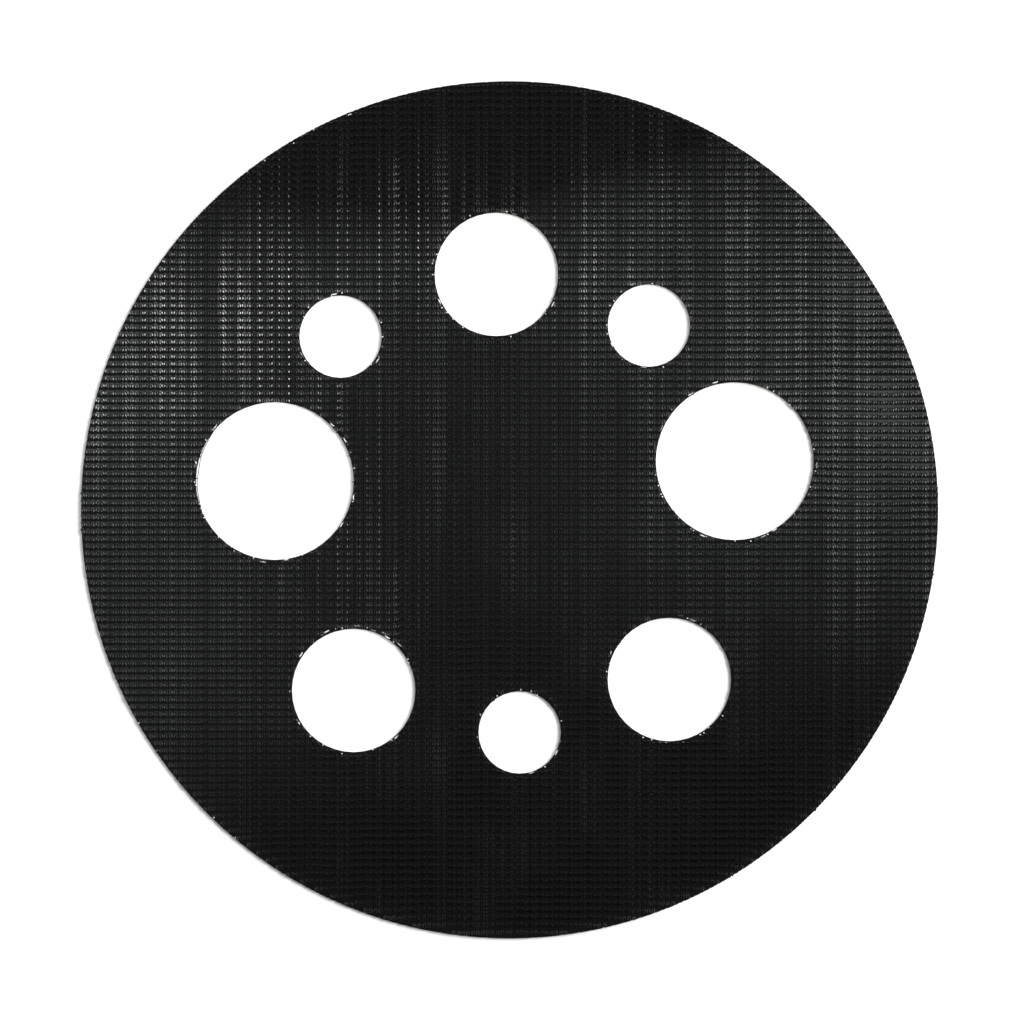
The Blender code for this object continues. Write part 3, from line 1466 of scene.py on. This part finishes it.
@dataclass
class LooseYarn:
    """A thin yarn that the die freed along one hole's edge, still held at both ends."""

    hole: Circle
    start: float = radians(138)
    end: float = radians(205)
    thickness: float = 0.12 * MM
    gap: float = 0.24 * MM
    sunk: float = 0.15 * MM
    depth: float = 0.18 * MM
    ripple: float = 0.06 * MM
    sway: float = 0.25
    steps: int = 22
    sides: int = 6

    def build(self, material: bpy.types.Material) -> bpy.types.Object:
        """Lay the yarn off the edge, and let it ride with the cloth.

        Args:
            material: its material.

        Returns:
            The yarn.
        """
        cloth_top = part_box(Layer.GROUND.node)[1][2]
        path = []
        for step in range(self.steps + 1):
            share = step / self.steps
            turn = self.start + (self.end - self.start) * share
            swell = sin(pi * share) ** 0.5
            sway = self.sway * sin(5.0 * pi * share) * sin(pi * share)
            reach = self.hole.radius + self.sunk - (self.sunk + self.gap * (1.0 + sway)) * swell
            height = cloth_top - self.depth - self.ripple * sin(3.0 * pi * share)
            path.append(Vector((
                self.hole.x + reach * cos(turn), self.hole.y + reach * sin(turn), height
            )))
        shape = Tubes("loose_yarn", self.sides, path)
        shape.add(path, self.thickness / 2)
        yarn = shape.finish(bpy.context.scene.collection)
        yarn.data.materials.append(material)
        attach(yarn, BODY)
        return yarn


# ---------------------------------------------------------------- the studio


@dataclass(frozen=True)
class Spot:
    """A small lamp for the sheen of the hooks in one part of the face."""

    name: str
    power: float
    place: tuple[float, float, float]
    aim: tuple[float, float, float]
    spread: float
    bulb: float = 0.03


@dataclass
class Studio:
    """The pale floor, the lights and the camera straight above the disc."""

    outline: Outline
    frame_width: float = 149.2 * MM
    camera_height: float = 1.5
    camera_offset: tuple[float, float] = (0.35 * MM, -0.32 * MM)
    sensor: float = 36.0
    view_end: float = 20.0
    floor_side: float = 6.0
    floor_gap: float = 0.03 * MM
    key_power: float = 3.3
    key_place: tuple[float, float, float] = (0.50, 0.24, 1.0)
    key_spread: float = radians(33)
    spots: tuple[Spot, ...] = (
        Spot("left_spot", 2.0, (-0.24, 0.00, 0.40), (-0.036, 0.026, 0.0), radians(24)),
        Spot("cross_spot", 1.5, (0.16, 0.00, 0.40), (-0.038, 0.026, 0.0), radians(18)),
        Spot("right_spot", 2.0, (0.25, 0.02, 0.40), (0.045, 0.004, 0.0), radians(24)),
    )
    sky: float = 0.22

    def floor(self, finish: Finish) -> None:
        """Lay the floor under the disc.

        Args:
            finish: the floor's finish.
        """
        body = bmesh.new()
        bmesh.ops.create_grid(body, x_segments=1, y_segments=1, size=self.floor_side / 2)
        mesh = bpy.data.meshes.new("floor")
        body.to_mesh(mesh)
        body.free()
        mesh.materials.append(finish.material())
        floor = bpy.data.objects.new("floor", mesh)
        floor.location.z = -self.floor_gap
        bpy.context.scene.collection.objects.link(floor)

    def lamp(
        self, name: str, kind: str, power: float, place: Vector, aim: Vector, **settings: Any
    ) -> bpy.types.Object:
        """Hang a lamp and point it.

        Args:
            name: its name.
            kind: its type.
            power: its strength.
            place: where it hangs.
            aim: the point that it shines at.
            settings: its other properties.

        Returns:
            The lamp.
        """
        light = bpy.data.lights.new(name, kind)
        light.energy = power
        for label, value in settings.items():
            setattr(light, label, value)
        lamp = bpy.data.objects.new(name, light)
        lamp.location = place
        lamp.rotation_euler = (place - aim).to_track_quat("Z", "Y").to_euler()
        bpy.context.scene.collection.objects.link(lamp)
        return lamp

    def lights(self) -> None:
        """Light the floor softly from the upper right, and the hooks' sheen with small spots."""
        key = self.lamp(
            "key", "SUN", self.key_power, Vector(self.key_place), Vector(), angle=self.key_spread
        )
        key.visible_glossy = False
        for spot in self.spots:
            self.lamp(
                spot.name, "SPOT", spot.power, Vector(spot.place), Vector(spot.aim),
                spot_size=spot.spread, spot_blend=1.0, shadow_soft_size=spot.bulb,
            )
        world = bpy.data.worlds.new("studio")
        world.use_nodes = True
        background = world.node_tree.nodes["Background"]
        background.inputs["Color"].default_value = (1.0, 1.0, 1.0, 1.0)
        background.inputs["Strength"].default_value = self.sky
        bpy.context.scene.world = world

    def camera(self) -> None:
        """Set the camera straight above, with a long lens."""
        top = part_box(Layer.PILE.node)[1][2]
        lens = bpy.data.cameras.new("camera")
        lens.sensor_width = self.sensor
        lens.lens = self.sensor * (self.camera_height - top) / self.frame_width
        lens.clip_end = self.view_end
        camera = bpy.data.objects.new("camera", lens)
        camera.location = (
            self.outline.rim.x + self.camera_offset[0],
            self.outline.rim.y + self.camera_offset[1],
            self.camera_height,
        )
        bpy.context.scene.collection.objects.link(camera)
        bpy.context.scene.camera = camera

    def build(self, finish: Finish) -> None:
        """Set up the whole studio.

        Args:
            finish: the floor's finish.
        """
        self.floor(finish)
        self.lights()
        self.camera()
        bpy.context.scene.view_settings.view_transform = "Standard"


# ---------------------------------------------------------------- all together


def dress_node(layer: Layer, material: bpy.types.Material) -> None:
    """Give a packed layer that keeps its shape a better material.

    Args:
        layer: the layer.
        material: the material.
    """
    for slot in frame["nodes"][layer.node].material_slots:
        slot.material = material
    log.info("dressed %s with %s", layer.node, material.name)


def report(piece: bpy.types.Object) -> None:
    """Log a piece's name and how many triangles it has."""
    triangles = sum(len(face.vertices) - 2 for face in piece.data.polygons)
    log.info("made %s, %d triangles", piece.name, triangles)


def main() -> None:
    """Set up the studio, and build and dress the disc's layers."""
    logging.basicConfig(level=logging.INFO, format="%(name)s: %(message)s")
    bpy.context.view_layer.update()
    outline = Outline.from_frame()
    use_and_sheen = UseAndSheen(outline.rim.radius)
    finishes = Finishes(use_and_sheen)

    Studio(outline).build(finishes.floor)

    fibre = finishes.hooks.material()
    pile = HookPile(outline, use_and_sheen)
    for piece in pile.build(fibre):
        report(piece)
    ground = WovenGround(outline).build(finishes.ground)
    report(ground)
    ends = CutEnds(outline, use_and_sheen).build(fibre)
    report(ends)
    leftmost = min(outline.holes, key=lambda hole: hole.x - hole.radius)
    yarn = LooseYarn(leftmost).build(fibre)
    report(yarn)
    paper = finishes.paper.material()
    dress_node(Layer.LINER_LEFT, paper)
    dress_node(Layer.LINER_RIGHT, paper)
    dress_node(Layer.ADHESIVE, finishes.adhesive.material())
    dress_node(Layer.COATING, finishes.binder.material())

    across = 2 * outline.rim.radius
    Layer.COATING.node
    outline.flat_area()


if __name__ == "__main__":
    main()
